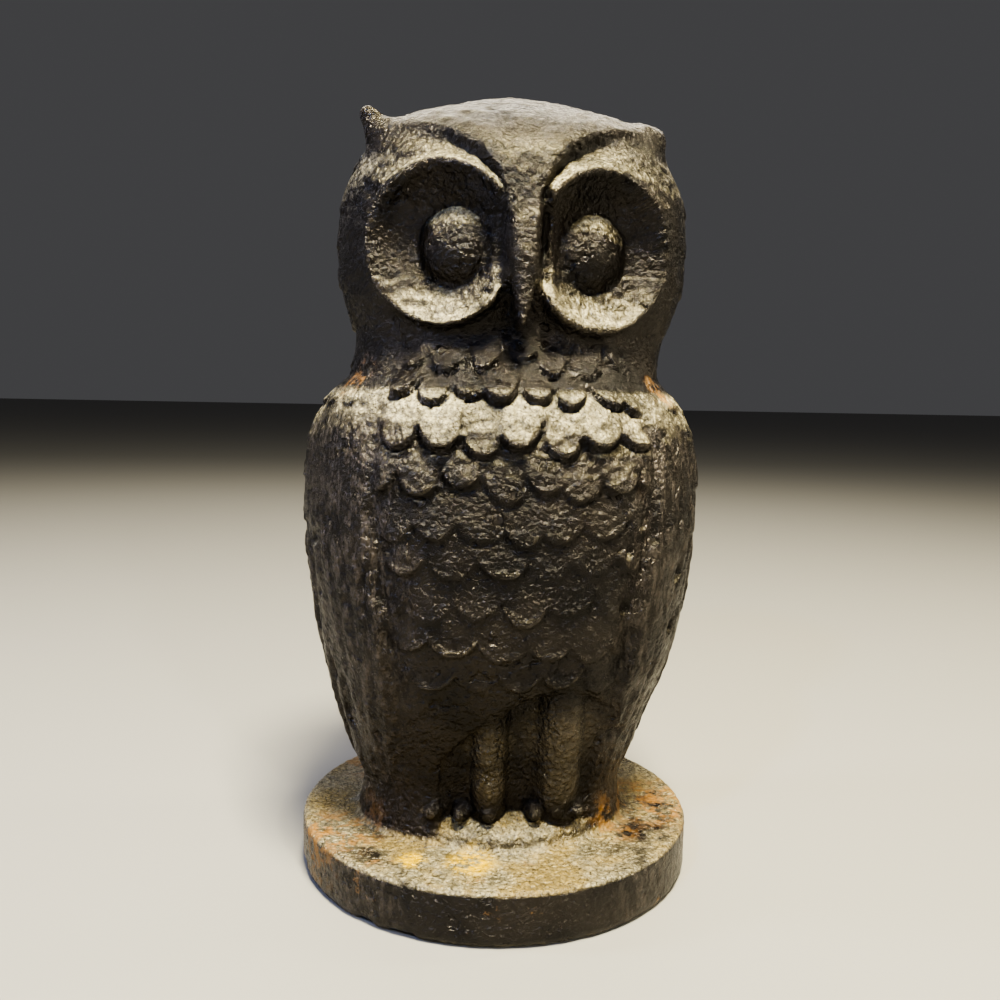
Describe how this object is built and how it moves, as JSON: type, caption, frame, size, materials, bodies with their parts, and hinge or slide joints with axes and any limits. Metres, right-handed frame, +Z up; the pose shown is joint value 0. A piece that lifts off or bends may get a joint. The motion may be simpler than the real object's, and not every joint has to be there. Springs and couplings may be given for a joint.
{
  "type": "owl book end",
  "caption": "Hollow two-part cast-iron owl standing on a round base, held together by two slotted screws from behind, with a felt pad under the base",
  "frame": {"origin": "middle of the base's underside, where the felt meets the table", "axes": "+Z up, the owl faces -Y, +X is the owl's left hand side"},
  "size_m": [0.066, 0.066, 0.127],
  "materials": {
    "cast_iron_front": "sand-cast iron with worn black paint",
    "cast_iron_back": "sand-cast iron with worn black paint",
    "screw_steel": "darkened steel",
    "felt": "pressed wool felt"
  },
  "bodies": {
    "root": {"front_casting": "cast_iron_front", "back_casting": "cast_iron_back", "upper_screw": "screw_steel", "lower_screw": "screw_steel", "felt_pad": "felt"}
  },
  "joints": []
}
